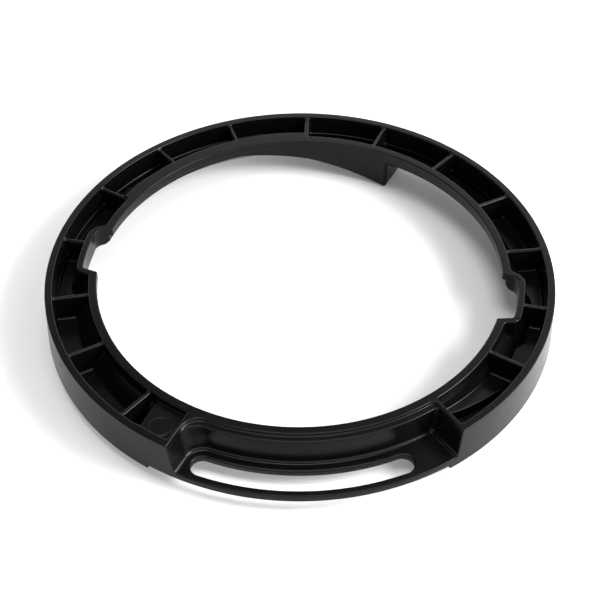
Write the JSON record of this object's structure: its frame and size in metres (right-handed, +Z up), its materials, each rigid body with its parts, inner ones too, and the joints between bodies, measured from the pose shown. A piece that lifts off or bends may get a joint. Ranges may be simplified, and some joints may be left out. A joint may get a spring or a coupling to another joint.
{
  "type": "ribbed flange ring",
  "caption": "Low round black plastic ring, catalogued as a toilet flange, cored out between radial ribs, with bayonet notches in the bore, a slotted recessed tab and a cam ramp underneath.",
  "frame": {"origin": "on the ring's axis, at the level of its lowest point, the tip of the cam ramp", "axes": "+Z up along the ring's axis, out of the open side of the pockets; the slotted recess faces -Y and the cam ramp is at the +Y side"},
  "size_m": [0.178, 0.1779, 0.0182],
  "materials": {
    "satin_black": "satin moulded black plastic with a fine mould texture",
    "polished_black": "smoother moulded black plastic inside the pockets and on the cam"
  },
  "bodies": {
    "root": {"outer_wall": "satin_black", "inner_rim_back": "satin_black", "inner_rim_left": "satin_black", "inner_rim_right": "satin_black", "back_rim_band": "satin_black", "web_back": "polished_black", "web_left": "polished_black", "web_right": "polished_black", "pocket_floor": "polished_black", "notch_wall_left": "satin_black", "notch_wall_right": "satin_black", "recess_wall": "satin_black", "end_wall_left": "satin_black", "end_wall_right": "satin_black", "slotted_tab": "satin_black", "cam_ramp": "polished_black", "gate_pad": "polished_black", "pit_wall": "polished_black", "pit_floor": "polished_black", "tapered_ledge": "polished_black", "rib_01": "satin_black", "rib_02": "satin_black", "rib_03": "satin_black", "rib_04": "satin_black", "rib_05": "satin_black", "rib_06": "satin_black", "rib_07": "satin_black", "rib_08": "satin_black", "rib_09": "satin_black", "rib_10": "satin_black", "rib_11": "satin_black", "rib_12": "satin_black", "rib_13": "satin_black", "rib_14": "satin_black"}
  },
  "joints": []
}
